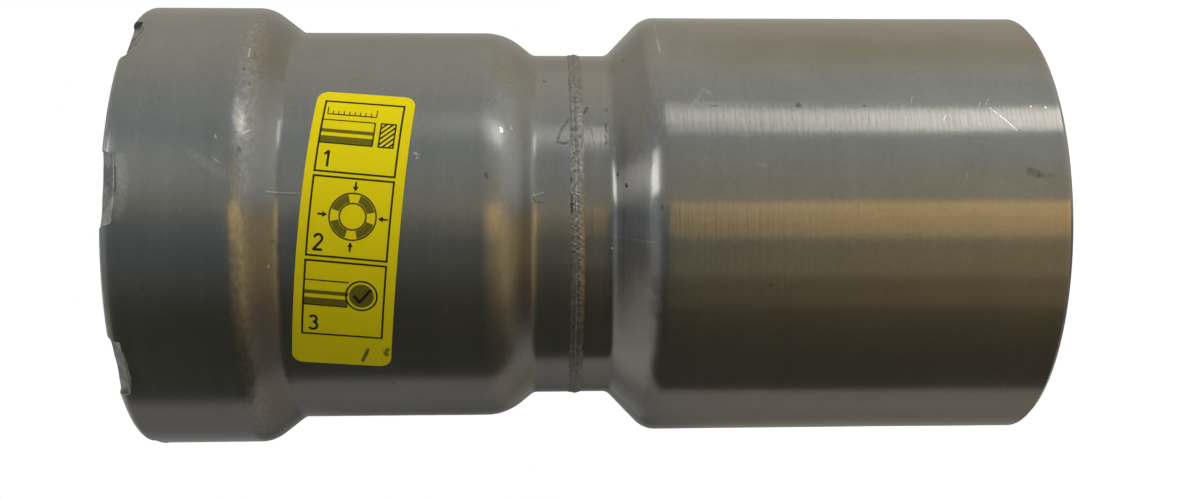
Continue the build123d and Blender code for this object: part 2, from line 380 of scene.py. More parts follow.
def coated_steel(
    name,
    grey,
    warm_grey,
    roughness,
    anisotropy,
    grooves,
    radius,
    pale_marks,
    dark_marks,
    worn_and_sheen_heights,
    tint_and_shade_heights,
):
    """Dull plating over turned steel, worn and creased where it was formed; its colour is lightened as
    painted highlight on the worn edges and in the lit strip, and darkened in given bands, which are painted
    shade over the bead and heat tint beside the weld.
    """
    finish = Finish(name, Metallic=1.0, Anisotropic=anisotropy, Anisotropic_Rotation=0.25)
    broad = finish.noise(finish.place, 45.0, 4.0, 0.6)
    cloud = finish.noise(finish.place, 190.0, 3.0)
    fine = finish.noise(finish.place, 1500.0, 3.0)
    turning = finish.streaks(22 * MM, 0.16 * MM, 4.0)
    bands = finish.streaks(120 * MM, 1.8 * MM, 3.0)
    drawing = finish.noise(finish.stretch(finish.place, (1 / (0.9 * MM), 1 / (0.9 * MM), 1 / (45 * MM))), 1.0)
    tint = finish.blend(broad, grey, warm_grey)
    spread = 0.18 * broad + 0.14 * cloud + 0.18 * fine + 0.05 * turning + 0.10 * bands + 0.07 * drawing
    # Streaks painted lighter and darker only in the strip where the highlight falls: painted highlight
    lit = finish.between(brushed_glint_strip, 1)
    brushed = grooves * lit * (finish.streaks(6 * MM, 0.30 * MM, 3.0) - 0.5)
    shade = 0.64 + spread + 0.45 * brushed
    level = finish.node("ShaderNodeCombineColor", {}, {0: shade, 1: shade, 2: shade})
    colour = finish.blend(1.0, tint, level, "MULTIPLY")
    rough = roughness + 0.05 * (broad - 0.5) + 0.05 * (turning - 0.5) + 0.05 * (bands - 0.5)

    # Darker bands all round: a heat tint beside the weld, and painted shade over the bead
    for height, reach, amount in tint_and_shade_heights:
        film = finish.window(finish.height, height - reach, height + reach, reach / 2)
        colour = finish.blend(amount * film, colour, heat_tint_and_shade_steel)
    grit = finish.noise(finish.place, 1300.0, 3.0, 0.6)
    crease = finish.streaks(0.9 * MM, 0.35 * MM, 3.0)
    creased = 0.0
    # Worn edges, lightened past their wear as painted highlight where the bead's shoulder catches the light
    for height, reach, amount in worn_and_sheen_heights:
        edge = finish.window(finish.height, height - reach, height + reach, reach)
        rubbed_sheen = amount * edge * finish.smooth(0.6 * grit + 0.4 * crease, 0.30, 0.74)
        colour = finish.blend(rubbed_sheen, colour, rubbed_sheen_steel)
        creased = edge * amount + creased

    tilted = finish.node(
        "ShaderNodeMapping",
        {"vector_type": "TEXTURE"},
        {"Vector": finish.place, "Rotation": (0.35, 0.5, 0.2), "Scale": (0.11 * MM, 0.11 * MM, 9 * MM)},
    )
    hair = finish.smooth(finish.noise(tilted, 1.0, 1.0), 0.70, 0.76)
    hair = hair * finish.smooth(finish.noise(finish.place, 120.0, 1.0), 0.52, 0.64)
    colour = finish.blend(0.22 * hair, colour, hairline_steel)
    cells = finish.node("ShaderNodeTexVoronoi", {}, {"Vector": finish.place, "Scale": 210.0})
    lone = finish.smooth(finish.noise(finish.place, 95.0, 1.0), 0.58, 0.66)
    pits = lone * finish.smooth(cells, 0.035, 0.075, 1.0, 0.0)
    colour = finish.blend(0.6 * pits, colour, pit_shade)
    broken = finish.smooth(finish.noise(finish.place, 2600.0, 2.0), 0.30, 0.58, 0.25, 1.0)
    colour = marked(finish, colour, pale_marks, radius, scratch_and_glint_steel, broken)
    colour = marked(finish, colour, dark_marks, radius, stain_shade, broken)
    finish.feed(Base_Color=colour, Roughness=rough)
    ridges = finish.streaks(9 * MM, 0.42 * MM, 3.0)
    turned_lines = grooves * ridges + 0.2 * grooves * turning
    relief = turned_lines + 0.15 * bands + 0.25 * fine + 0.2 * cloud + 0.7 * creased * crease - 0.8 * pits
    finish.bump(relief, 0.014 * MM)
    return finish.material


def crushed_steel():
    """Floor of a stake, dull where the punch has struck the plating; its darker patches also stand in as
    painted shade in the pocket.
    """
    finish = Finish("crushed_steel", Metallic=1.0)
    patch = finish.noise(finish.place, 420.0, 3.0)
    coarse = finish.noise(finish.place, 1500.0, 4.0, 0.6)
    fine = finish.noise(finish.place, 5200.0, 3.0)
    # Darker patches: crushed plating, and also painted shade in the stake's pocket
    dull = finish.blend(coarse, (0.10, 0.098, 0.090, 1), (0.21, 0.207, 0.195, 1))
    bare = finish.blend(coarse, (0.20, 0.197, 0.188, 1), (0.33, 0.326, 0.315, 1))
    colour = finish.blend(finish.smooth(patch, 0.42, 0.62), dull, bare)
    finish.feed(Base_Color=colour, Roughness=0.48 + 0.2 * fine)
    finish.bump(0.5 * coarse + 0.2 * fine + 0.6 * patch, 0.06 * MM)
    return finish.material


def raised_burr():
    """Edge that the punch has pushed up and worn bright, its colour lightened a little further as painted
    highlight on the rim.
    """
    finish = Finish("raised_burr", Metallic=1.0)
    grain = finish.noise(finish.place, 1300.0, 3.0)
    # Lighter than the plating: worn bare, and also painted highlight on the rim
    colour = finish.blend(finish.smooth(grain, 0.35, 0.62), (0.17, 0.166, 0.155, 1), (0.36, 0.353, 0.33, 1))
    finish.feed(Base_Color=colour, Roughness=0.34 + 0.2 * grain)
    finish.bump(grain, 0.03 * MM)
    return finish.material


def weld_metal():
    """Weld under the plating, with painted shade in the crevice and groove on the socket's side, and dark
    specks on the other.
    """
    finish = Finish("weld_metal", Metallic=1.0)
    patch = finish.noise(finish.place, 260.0, 3.0)
    coarse = finish.noise(finish.place, 1700.0, 3.0, 0.6)
    fine = finish.noise(finish.place, 6000.0, 2.0)
    colour = finish.blend(finish.smooth(coarse, 0.30, 0.70), (0.145, 0.138, 0.12, 1), (0.25, 0.242, 0.22, 1))
    swing = (finish.height - weld_height) / MM + 0.35 * (coarse - 0.5)
    deepest = 0.25 + 0.75 * finish.between(darkened_weld, 3)
    crevice = finish.window(swing, 0.66, 0.92, 0.08) * finish.smooth(patch, 0.44, 0.56) * deepest
    groove = finish.window(swing, 0.10, 0.30, 0.10) * finish.smooth(patch, 0.52, 0.62) * 0.6 * deepest
    specks = finish.window(swing, -0.95, -0.70, 0.06) * finish.smooth(coarse, 0.54, 0.62) * 0.5 * deepest
    # Crevice and groove darkened as painted shade, with dark specks on the spigot's side
    shade_and_specks = finish.maths("MAXIMUM", finish.maths("MAXIMUM", crevice, groove), specks)
    colour = finish.blend(0.8 * shade_and_specks, colour, weld_shade_and_speck)
    finish.feed(Base_Color=colour, Roughness=0.31 + 0.2 * fine + 0.2 * shade_and_specks)
    rough = 0.4 + 0.6 * finish.between(rough_weld, 6)
    finish.bump((coarse + 0.4 * patch) * rough, 0.035 * MM)
    return finish.material


def seal_rubber():
    finish = Finish("seal_rubber", Specular_IOR_Level=0.4)
    bloom = finish.noise(finish.place, 260.0, 3.0)
    fine = finish.noise(finish.place, 3000.0, 2.0)
    colour = finish.blend(bloom, (0.012, 0.012, 0.013, 1), (0.028, 0.028, 0.029, 1))
    finish.feed(Base_Color=colour, Roughness=0.40 + 0.25 * bloom)
    finish.bump(fine, 0.02 * MM)
    return finish.material


def ring_steel():
    """Hardened stainless of the separator and the toothed ring."""
    finish = Finish("ring_steel", Metallic=1.0)
    turning = finish.streaks(30 * MM, 0.2 * MM, 2.0)
    tint = finish.noise(finish.place, 300.0, 3.0)
    colour = finish.blend(tint, (0.40, 0.385, 0.36, 1), (0.56, 0.55, 0.53, 1))
    finish.feed(Base_Color=colour, Roughness=0.24 + 0.2 * turning)
    finish.bump(turning, 0.02 * MM)
    return finish.material


def label_film():
    """Yellow film, a little uneven in its ink, scuffed and soiled near its lower end."""
    finish = Finish("label_film", Specular_IOR_Level=0.05)
    cloud = finish.noise(finish.place, 160.0, 3.0)
    grain = finish.noise(finish.place, 2600.0, 2.0)
    colour = finish.blend(cloud, (0.71, 0.585, 0.002, 1), (0.76, 0.635, 0.004, 1))
    smear = finish.smooth(finish.noise(finish.place, 900.0, 3.0), 0.30, 0.56, 0.6, 1.0)
    for places, width, soft, strength in label_marks:
        amount = strength * smear * trail(finish, body_radius, places, width, soft)
        colour = finish.blend(amount, colour, label_dirt)
    finish.feed(Base_Color=colour, Roughness=0.50 + 0.12 * grain)
    finish.bump(cloud + 0.2 * grain, 0.03 * MM)
    return finish.material


def ink(name, dark, light, roughness):
    finish = Finish(name, Specular_IOR_Level=0.15)
    grain = finish.noise(finish.place, 3000.0, 2.0)
    finish.feed(Base_Color=finish.blend(grain, dark, light), Roughness=roughness + 0.1 * grain)
    return finish.material


def rounded(corners, arc_step):
    """Outline through (radius, height, fillet) corners, with an arc at each corner that has a fillet."""
    outline = []
    for index, (radius, height, fillet) in enumerate(corners):
        corner = Vector((radius, height))
        if not fillet:
            outline.append(corner)
            continue
        before = (Vector(corners[index - 1][:2]) - corner).normalized()
        after = (Vector(corners[(index + 1) % len(corners)][:2]) - corner).normalized()
        half = before.angle(after) / 2
        sweep = pi - 2 * half
        centre = corner + (before + after).normalized() * (fillet / sin(half))
        start = corner + before * (fillet / tan(half)) - centre
        end = corner + after * (fillet / tan(half)) - centre
        steps = max(4, ceil(sweep * fillet / arc_step))
        for step in range(steps + 1):
            share = step / steps
            spoke = start * sin((1 - share) * sweep) + end * sin(share * sweep)
            outline.append(centre + spoke / sin(sweep))
    return outline


def divided(outline, longest):
    """The closed outline with points added along runs over the longest allowed length."""
    points = []
    for index, point in enumerate(outline):
        after = outline[(index + 1) % len(outline)]
        pieces = max(1, ceil((after - point).length / longest))
        points += [point.lerp(after, piece / pieces) for piece in range(pieces)]
    return points


def turned(name, outline, sides, relief):
    """Mesh of an outline turned about Z, its radius changed by relief(angle, radius, height)."""
    radius = np.array([point.x for point in outline])[:, None]
    height = np.array([point.y for point in outline])[:, None]
    angle = np.linspace(0, 2 * pi, sides, endpoint=False)[None, :]
    reach = radius + relief(angle, radius, height)
    level = height + 0 * angle
    places = np.stack([reach * np.cos(angle), reach * np.sin(angle), level], axis=-1)
    rows = len(outline)
    faces = []
    for row in range(rows):
        above = (row + 1) % rows
        for side in range(sides):
            beside = (side + 1) % sides
            faces.append(
                (row * sides + side, row * sides + beside, above * sides + beside, above * sides + side)
            )
    mesh = bpy.data.meshes.new(name)
    mesh.from_pydata(places.reshape(-1, 3).tolist(), [], faces)
    return shaded(added(name, mesh))


def added(name, mesh):
    piece = bpy.data.objects.new(name, mesh)
    bpy.context.scene.collection.objects.link(piece)
    return piece


def shaded(piece, crease=32.0):
    """Smooth shading that keeps the real edges sharp."""
    piece.data.shade_smooth()
    piece.data.set_sharp_from_angle(angle=radians(crease))
    return piece


def waves(seed, count, around, along):
    """Smooth random relief of about one, as a function of angle and height."""
    picker = np.random.default_rng(seed)
    turns = picker.integers(around[0], around[1], count)
    rises = 2 * pi / picker.uniform(along[0], along[1], count) * picker.choice((-1, 1), count)
    phases = picker.uniform(0, 2 * pi, count)

    def relief(angle, height):
        terms = zip(turns, rises, phases)
        parts = [np.cos(turn * angle + rise * height + phase) for turn, rise, phase in terms]
        return sum(parts) / sqrt(count)

    return relief


def hump(value, middle, width):
    """Bell of height one about the middle."""
    return np.exp(-(((value - middle) / width) ** 2))


def make_spigot_shell(finish):
    """Pipe end with its swage, a hair out of true as drawn tube is."""
    lag = wall * tan(atan2(spigot_radius - neck_radius, swage_top - swage_bottom) / 2)
    top = spigot_high.z
    neck_bore = neck_radius - wall
    bore = spigot_radius - wall
    corners = [
        (spigot_radius - end_chamfer, 0, 0),
        (spigot_radius, end_chamfer, 0),
        (spigot_radius, swage_bottom, swage_radius),
        (neck_radius, swage_top, swage_foot_radius),
        (neck_radius, top, 0),
        (neck_bore, top, 0),
        (neck_bore, swage_top - lag, swage_foot_radius + wall),
        (bore, swage_bottom - lag, swage_radius - wall),
        (bore, bore_chamfer, 0),
        (bore + bore_chamfer, 0, 0),
    ]
    sway = waves(11, 7, (2, 9), (18 * MM, 60 * MM))
    chatter = waves(12, 12, (18, 60), (2 * MM, 9 * MM))

    def relief(angle, radius, height):
        drawn = spigot_sway * sway(angle, height)
        worked = swage_chatter * hump(height, swage_bottom, 3 * MM) * chatter(angle, height)
        fade = np.clip((height - 2 * end_chamfer) / (2 * MM), 0, 1)
        return (drawn + worked - spigot_inset) * fade

    outline = divided(rounded(corners, 0.35 * MM), 1.2 * MM)
    shell = turned("spigot_shell", outline, 420, relief)
    shell.data.materials.append(finish)
    return shell


def make_socket_shell(finish, struck):
    """Socket from its neck to the staked lip, with the marks that forming the bead leaves."""
    stop_lag = wall * tan(atan2(body_radius - neck_radius, stop_top - stop_bottom) / 2)
    bead_lag = wall * tan(atan2(bead_radius - body_radius, bead_top - bead_bottom) / 2)
    neck_end = socket_low.z
    neck_bore = neck_radius - wall
    bore = body_radius - wall
    bevel = 0.4 * MM
    corners = [
        (neck_radius, neck_end, 0),
        (neck_radius, stop_bottom, stop_foot_radius),
        (body_radius, stop_top, stop_radius),
        (body_radius, bead_bottom, shoulder_foot_radius),
        (bead_radius, bead_top, shoulder_radius),
        (bead_radius, mouth_height, lip_radius),
        (chamber_radius + bevel, mouth_height, 0),
        (chamber_radius, mouth_height - bevel, 0),
        (chamber_radius, bead_top + bead_lag, 0),
        (bore, bead_bottom + bead_lag, shoulder_foot_radius + wall),
        (bore, stop_top + stop_lag, stop_radius - wall),
        (neck_bore, stop_bottom + stop_lag, stop_foot_radius + wall),
        (neck_bore, neck_end, 0),
    ]
    sway = waves(21, 8, (2, 8), (15 * MM, 50 * MM))
    crinkle = waves(22, 40, (30, 130), (0.9 * MM, 3 * MM))
    rings = waves(23, 6, (1, 4), (2.2 * MM, 6 * MM))
    stakes = [radians(stake_first_angle + 360 / stake_count * index) for index in range(stake_count)]

    def relief(angle, radius, height):
        outside = radius > chamber_radius + bead_wall / 3
        outside |= (radius > bore + wall / 2) & (height < bead_top)
        formed = socket_sway * sway(angle, height) + socket_rings * rings(angle, height)
        bent = hump(height, bead_top, 1.4 * MM) + hump(height, bead_bottom, 1.2 * MM)
        formed = formed + bead_crinkle * bent * crinkle(angle, height) - socket_inset
        fade = np.clip((height - neck_end) / (2 * MM), 0, 1)
        fade = fade * np.clip((mouth_height - height) / (2 * MM), 0, 1)
        driven = np.zeros_like(angle)
        for stake in stakes:
            swing = (angle - stake + pi) % (2 * pi) - pi
            reach = np.abs(swing) * chamber_radius / (nub_width / 2)
            driven = driven + np.clip(1 - reach**4, 0, 1)
        nub = np.clip((height - grip_high.z) / (1.0 * MM), 0, 1)
        nub = nub * np.clip((mouth_height - height) / (1.2 * MM), 0, 1)
        return np.where(outside, formed * fade, -nub_height * driven * nub)

    outline = divided(rounded(corners, 0.4 * MM), 0.9 * MM)
    shell = turned("socket_shell", outline, 480, relief)
    shell.data.materials.append(finish)
    shell.data.materials.append(struck)
    return staked(shell, stakes)


def make_punch(angle):
    """The punch at one stake: a disc with a rough, slightly domed face, leaning at half a right angle."""
    rings = 22
    sides = 96
    radius = stake_width / 2
    lean = Vector((cos(radians(45)), 0, sin(radians(45))))
    across = Vector((0, 1, 0))
    down = lean.cross(across)
    seat = Vector((bead_radius - stake_reach, 0, mouth_height))
    form = bmesh.new()
    loops = []
    for ring in range(rings + 1):
        loop = []
        for side in range(sides):
            turn = 2 * pi * side / sides
            share = (ring + 0.5) / (rings + 0.5)
            flat = (across * cos(turn) + down * sin(turn)) * (radius * share)
            rough = noise.noise((seat + flat) * 700 + Vector((degrees(angle), 0, 0)))
            depth = punch_dome * (1 - share**2) - 0.12 * MM * rough
            loop.append(form.verts.new(seat + flat - lean * depth))
        loops.append(loop)
    back = [form.verts.new(vertex.co + lean * stake_width) for vertex in loops[-1]]
    loops.append(back)
    form.faces.new(loops[0])
    form.faces.new(back)
    for inner, outer in zip(loops, loops[1:]):
        for side in range(sides):
            beside = (side + 1) % sides
            form.faces.new((inner[side], outer[side], outer[beside], inner[beside]))
    bmesh.ops.rotate(form, verts=form.verts, cent=(0, 0, 0), matrix=Matrix.Rotation(angle, 3, "Z"))
    bmesh.ops.recalc_face_normals(form, faces=form.faces)
    mesh = bpy.data.meshes.new("punch")
    form.to_mesh(mesh)
    form.free()
    for face in mesh.polygons:
        face.material_index = 1
    return mesh


def staked(shell, stakes):
    """The shell with a bite taken out of its lip by each punch."""
    for angle in stakes:
        punch = added("punch", make_punch(angle))
        cut = shell.modifiers.new("stake", "BOOLEAN")
        cut.operation = "DIFFERENCE"
        cut.solver = "EXACT"
        cut.object = punch
    bpy.context.view_layer.update()
    done = shell.evaluated_get(bpy.context.evaluated_depsgraph_get())
    mesh = bpy.data.meshes.new_from_object(done)
    for cut in list(shell.modifiers):
        punch = cut.object
        shell.modifiers.remove(cut)
        bpy.data.objects.remove(punch)
    shell.data = mesh
    return shaded(shell)


def lip_surface(height):
    """Radius of the bead's outer face at a height near its lip."""
    into_lip = max(0.0, height - (mouth_height - lip_radius))
    return bead_radius - lip_radius + sqrt(max(0.0, lip_radius**2 - into_lip**2))


def make_stake_burrs(finish):
    """Thin raised edge that each punch pushes up round its bite."""
    form = bmesh.new()
    punch_radius = stake_width / 2
    seat = bead_radius - stake_reach
    steps = 60
    sides = 8
    for index in range(stake_count):
        turn = Matrix.Rotation(radians(stake_first_angle + 360 / stake_count * index), 3, "Z")
        path = []
        for step in range(steps + 1):
            across = punch_radius * 0.985 * (2 * step / steps - 1)
            reach = sqrt(bead_radius**2 - across**2) - seat
            floor = mouth_height - reach
            side_wall = mouth_height + reach - sqrt(2 * (punch_radius**2 - across**2))
            height = max(floor, side_wall)
            if height < mouth_height - 0.25 * MM:
                radius = lip_surface(height)
                path.append(Vector((sqrt(radius**2 - across**2), across, height)))
        loops = []
        for place, point in enumerate(path):
            ahead = path[min(place + 1, len(path) - 1)] - path[max(place - 1, 0)]
            outward = Vector((point.x, point.y, 0)).normalized()
            beside = ahead.normalized().cross(outward).normalized()
            grain = noise.noise(point * 1500 + Vector((index, 0, 0)))
            ends = min(place, len(path) - 1 - place) / 4
            torn = 1 + 0.9 * exp(-(((place - 5) / 2.5) ** 2))
            girth = burr_girth * (1 + 0.6 * grain) * torn * min(1.0, 0.25 + ends)
            centre = point - outward * girth * 0.35
            loop = []
            for side in range(sides):
                spin = 2 * pi * side / sides
                spoke = outward * cos(spin) + beside * sin(spin) * 1.2
                loop.append(form.verts.new(turn @ (centre + spoke * girth)))
            loops.append(loop)
        for near, far in zip(loops, loops[1:]):
            for side in range(sides):
                after = (side + 1) % sides
                form.faces.new((near[side], near[after], far[after], far[side]))
        form.faces.new(loops[0])
        form.faces.new(loops[-1])
    bmesh.ops.recalc_face_normals(form, faces=form.faces)
    mesh = bpy.data.meshes.new("stake_burrs")
    form.to_mesh(mesh)
    form.free()
    piece = shaded(added("stake_burrs", mesh), 60.0)
    piece.data.materials.append(finish)
    return piece


def make_weld_ripple(finish):
    """Butt weld with the close crescents that its pool leaves, wandering a little along the seam."""
    half_crown = (weld_high.z - weld_low.z) / 2
    half_gap = 0.5 * MM
    root_rise = 0.2 * MM
    root_half = 0.75 * MM
    bore = neck_radius - wall
    steps = 16
    outline = []
    for step in range(steps + 1):
        swing = -half_crown + 2 * half_crown * step / steps
        share = swing / half_crown
        groove = 1 - 0.5 * exp(-(((share - 0.3) / 0.17) ** 2))
        rise = weld_crown * (1 - share**2) * groove
        outline.append(Vector((neck_radius + rise, weld_height + swing)))
    outline.append(Vector((neck_radius - 0.2 * MM, weld_height + half_crown * 0.9)))
    outline.append(Vector((neck_radius - 0.4 * MM, weld_height + half_gap)))
    outline.append(Vector((bore, weld_height + half_gap)))
    for step in range(steps + 1):
        swing = root_half - 2 * root_half * step / steps
        rise = root_rise * (1 - (swing / root_half) ** 2)
        outline.append(Vector((bore - rise, weld_height + swing)))
    outline.append(Vector((bore, weld_height - half_gap)))
    outline.append(Vector((neck_radius - 0.4 * MM, weld_height - half_gap)))
    outline.append(Vector((neck_radius - 0.2 * MM, weld_height - half_crown * 0.9)))
    crescents = 150
    pool = waves(31, 44, (40, 420), (0.45 * MM, 1.6 * MM))
    wander = waves(32, 6, (3, 20), (40 * MM, 80 * MM))
    swell = waves(33, 8, (2, 30), (6 * MM, 20 * MM))

    def relief(angle, radius, height):
        swing = (height - weld_height) / half_crown
        crown = np.clip((radius - neck_radius) / weld_crown, 0, 1)
        phase = crescents * angle + 2.6 * swing**2 + 6.0 * wander(angle, height)
        scale = np.abs(np.sin(phase / 2)) - 0.6
        beat = ripple_depth * scale + pool_depth * pool(angle, height)
        away = (angle - radians(deepest_ripple) + pi) % (2 * pi) - pi
        steady = 0.30 + 0.70 * hump(away, 0, radians(ripple_spread))
        return (beat * steady + swell_depth * swell(angle, height) - weld_inset) * np.sqrt(crown)

    ripple = turned("weld_ripple", outline, 1100, relief)
    ripple.data.materials.append(finish)
    return shaded(ripple, 60.0)


def strip(start, end, width):
    """Flat quad along a line from start to end."""
    start, end = Vector(start), Vector(end)
    along = (end - start).normalized()
    side = Vector((-along.y, along.x)) * (width / 2)
    return [start - side, end - side, end + side, start + side]


def stroke(points, width):
    """Pen line through points: a quad for each run and a small disc at each bend."""
    shapes = [strip(start, end, width) for start, end in zip(points, points[1:])]
    return shapes + [disc(point, width / 2, 10) for point in points[1:-1]]


def disc(centre, radius, sides=24):
    turns = [2 * pi * side / sides for side in range(sides)]
    return [Vector(centre) + Vector((cos(turn), sin(turn))) * radius for turn in turns]


def arc(centre, radius, start, end, steps=14):
    """Points on an arc between two angles in degrees."""
    turns = [radians(start + (end - start) * step / steps) for step in range(steps + 1)]
    return [Vector(centre) + Vector((cos(turn), sin(turn))) * radius for turn in turns]


def block(left, low, right, high):
    return [Vector((left, low)), Vector((right, low)), Vector((right, high)), Vector((left, high))]


def box_outline(left, low, right, high, width):
    """Four strips that meet at the corners of a box."""
    half = width / 2
    return [
        block(left - half, low - half, right + half, low + half),
        block(left - half, high - half, right + half, high + half),
        block(left - half, low + half, left + half, high - half),
        block(right - half, low + half, right + half, high - half),
    ]


def wrapped(name, shapes, bottom, top, finish, grid=0.9 * MM):
    """Flat shapes, in metres right and up from the label's middle, wrapped onto the body as a thin skin."""
    form = bmesh.new()
    lean = radians(label_lean)
    for shape in shapes:
        corners = [form.verts.new((point.x, point.y, 0)) for point in shape]
        face = form.faces.new(corners)
        face.normal_update()
        if face.normal.z < 0:
            face.normal_flip()
    reach = int(label_length / grid)
    for step in range(-reach, reach + 1):
        everything = form.verts[:] + form.edges[:] + form.faces[:]
        level = (0, (step + 0.37) * grid, 0)
        bmesh.ops.bisect_plane(form, geom=everything, plane_co=level, plane_no=(0, 1, 0), dist=1e-9)
    skin = bmesh.ops.extrude_face_region(form, geom=form.faces[:])
    raised = [item for item in skin["geom"] if isinstance(item, bmesh.types.BMVert)]
    for vertex in raised:
        vertex.co.z = 1.0
    for vertex in form.verts:
        right = vertex.co.x * cos(lean) + vertex.co.y * sin(lean)
        up = vertex.co.y * cos(lean) - vertex.co.x * sin(lean)
        turn = radians(label_angle) + up / body_radius
        radius = body_radius + bottom + (top - bottom) * vertex.co.z
        vertex.co = (radius * cos(turn), radius * sin(turn), label_middle - right)
    bmesh.ops.recalc_face_normals(form, faces=form.faces)
    mesh = bpy.data.meshes.new(name)
    form.to_mesh(mesh)
    form.free()
    piece = shaded(added(name, mesh), 40.0)
    piece.data.materials.append(finish)
    return piece


def make_label_film(finish):
    """The sticker itself, with round corners."""
    half_width = label_width / 2 - label_corner
    half_length = label_length / 2 - label_corner
    outline = []
    for side, (x, y) in enumerate(((1, 1), (-1, 1), (-1, -1), (1, -1))):
        outline += arc((x * half_width, y * half_length), label_corner, 90 * side, 90 * side + 90, 10)
    return wrapped("label_film", [outline], 0.0, label_thickness, finish)


# Print on the label: three panels with a plain numeral and a simple figure in each
panel_left = -5.2 * MM
panel_right = 5.1 * MM
panel_gap = 0.65 * MM
panel_height = 10.25 * MM
first_panel_top = 17.7 * MM
rule_width = 0.25 * MM
numeral_width = 0.32 * MM
ink_rise = 0.012 * MM
tick_line = 0.13 * MM
edge_line = 0.16 * MM
ring_line = 0.18 * MM
frame_line = 0.20 * MM
hatch_line = 0.22 * MM
check_line = 0.38 * MM
hatch_pitch = 0.78 * MM
arrow_size = 0.62 * MM


def panel_corner(index):
    """Lower left corner of a panel, counted from the top."""
    low = first_panel_top - panel_height - index * (panel_height + panel_gap)
    return Vector((panel_left, low))


def make_label_rules(finish):
    shapes = []
    for index in range(3):
        left, low = panel_corner(index)
        shapes += box_outline(left, low, panel_right, low + panel_height, rule_width)
    return wrapped("label_rules", shapes, label_thickness, label_thickness + ink_rise, finish)


def numeral_strokes(figure):
    """Pen lines of 1, 2 or 3 in a cell 1.3 mm wide and 2.2 mm high."""
    if figure == 1:
        return [[(0.25, 1.65), (0.75, 2.15)], [(0.75, 2.2), (0.75, 0)]]
    if figure == 2:
        bowl = arc((0.65, 1.6), 0.5, 170, -40)
        return [[*bowl, Vector((0.15, 0.14))], [(0.02, 0.14), (1.25, 0.14)]]
    upper = arc((0.62, 1.62), 0.45, 155, -90)
    lower = arc((0.62, 0.62), 0.54, 90, -150)
    return [upper, lower]


def make_label_numerals(finish):
    shapes = []
    for index in range(3):
        corner = panel_corner(index) + Vector((0.75, 0.65)) * MM
        for line in numeral_strokes(index + 1):
            shapes += stroke([corner + Vector(point) * MM for point in line], numeral_width)
    return wrapped("label_numerals", shapes, label_thickness, label_thickness + ink_rise, finish)


def figure_tube(corner, left, right, middle, half):
    """Plain tube seen from the side: two edge lines and two bands of shade."""
    left, right = corner.x + left, corner.x + right
    middle = corner.y + middle
    edges = (middle + half, middle - half)
    bands = ((middle - half, middle - half * 0.4), (middle - half * 0.1, middle + half * 0.2))
    lines = [strip((left, edge), (right, edge), edge_line) for edge in edges]
    shade = [block(left, low, right, high) for low, high in bands]
    return lines, shade


def figure_hatch(corner, left, low, right, high):
    """Cut block: a dark frame filled with slanted lines."""
    lines = box_outline(corner.x + left, corner.y + low, corner.x + right, corner.y + high, frame_line)
    slant = high - low
    start = left - slant
    while start < right:
        low_x = max(start, left)
        high_x = min(start + slant, right)
        if high_x > low_x:
            lines.append(
                strip(
                    corner + Vector((low_x, low + low_x - start)),
                    corner + Vector((high_x, low + high_x - start)),
                    hatch_line,
                )
            )
        start += hatch_pitch
    return lines


def figure_arrow(tip, turn, size):
    """Solid arrow with its tip at a point, turned in degrees from pointing right."""
    spin = Matrix.Rotation(radians(turn), 2)
    head = [Vector((0, 0)), Vector((-1, 0.6)), Vector((-1, -0.6))]
    shaft = [Vector((-0.95, 0.2)), Vector((-2.0, 0.2)), Vector((-2.0, -0.2)), Vector((-0.95, -0.2))]
    return [[tip + spin @ point * size for point in shape] for shape in (head, shaft)]


def figure_rule(corner, left, right, low, height):
    """Scale with a tick for every step, the end ones full height."""
    lines = [strip(corner + Vector((left, low)), corner + Vector((right, low)), edge_line)]
    ticks = 9
    for tick in range(ticks + 1):
        x = left + (right - left) * tick / ticks
        reach = height if tick in (0, ticks) else height * 0.5
        lines.append(strip(corner + Vector((x, low)), corner + Vector((x, low + reach)), tick_line))
    return lines


def figure_ring(centre, inner, outer):
    """Ring seen end on, with an arrow pressing on each of its four sides: (lines, shade)."""
    lines = stroke(arc(centre, inner, 0, 360, 36), ring_line)
    lines += stroke(arc(centre, outer, 0, 360, 44), ring_line)
    shade = []
    for quarter in range(4):
        first = 90 * quarter + 16
        rim = arc(centre, outer - 0.15 * MM, first, first + 58, 12)
        bore = arc(centre, inner + 0.15 * MM, first + 58, first, 12)
        shade.append(rim + bore)
        turn = radians(90 * quarter)
        tip = centre + Vector((cos(turn), sin(turn))) * (outer + 0.25 * MM)
        lines += figure_arrow(tip, 90 * quarter + 180, arrow_size)
    return lines, shade


def label_figures():
    """A measured tube, a pressed ring and a checked tube, one in each panel: (lines, shade)."""
    first, second, third = (panel_corner(index) for index in range(3))
    lines = figure_rule(first, 0.5 * MM, 6.9 * MM, 8.2 * MM, 1.1 * MM)
    lines.append(strip(first + Vector((6.9, 3.9)) * MM, first + Vector((6.9, 7.3)) * MM, frame_line))
    lines += figure_hatch(first, 7.7 * MM, 3.9 * MM, 9.6 * MM, 7.3 * MM)
    ring_lines, shade = figure_ring(second + Vector((5.5, 5.35)) * MM, 1.7 * MM, 3.0 * MM)
    lines += ring_lines
    for corner, right, middle in ((first, 6.9, 5.6), (third, 5.7, 6.0)):
        edges, bands = figure_tube(corner, 0.1 * MM, right * MM, middle * MM, 1.7 * MM)
        lines += edges
        shade += bands
    lines += stroke(arc(third + Vector((7.4, 6.0)) * MM, 2.0 * MM, 0, 360, 28), hatch_line)
    tick = ((6.4, 6.0), (7.2, 5.1), (8.6, 7.0))
    lines += stroke([third + Vector(point) * MM for point in tick], check_line)
    shade.append(disc(third + Vector((7.4, 6.0)) * MM, 1.6 * MM))
    return lines, shade


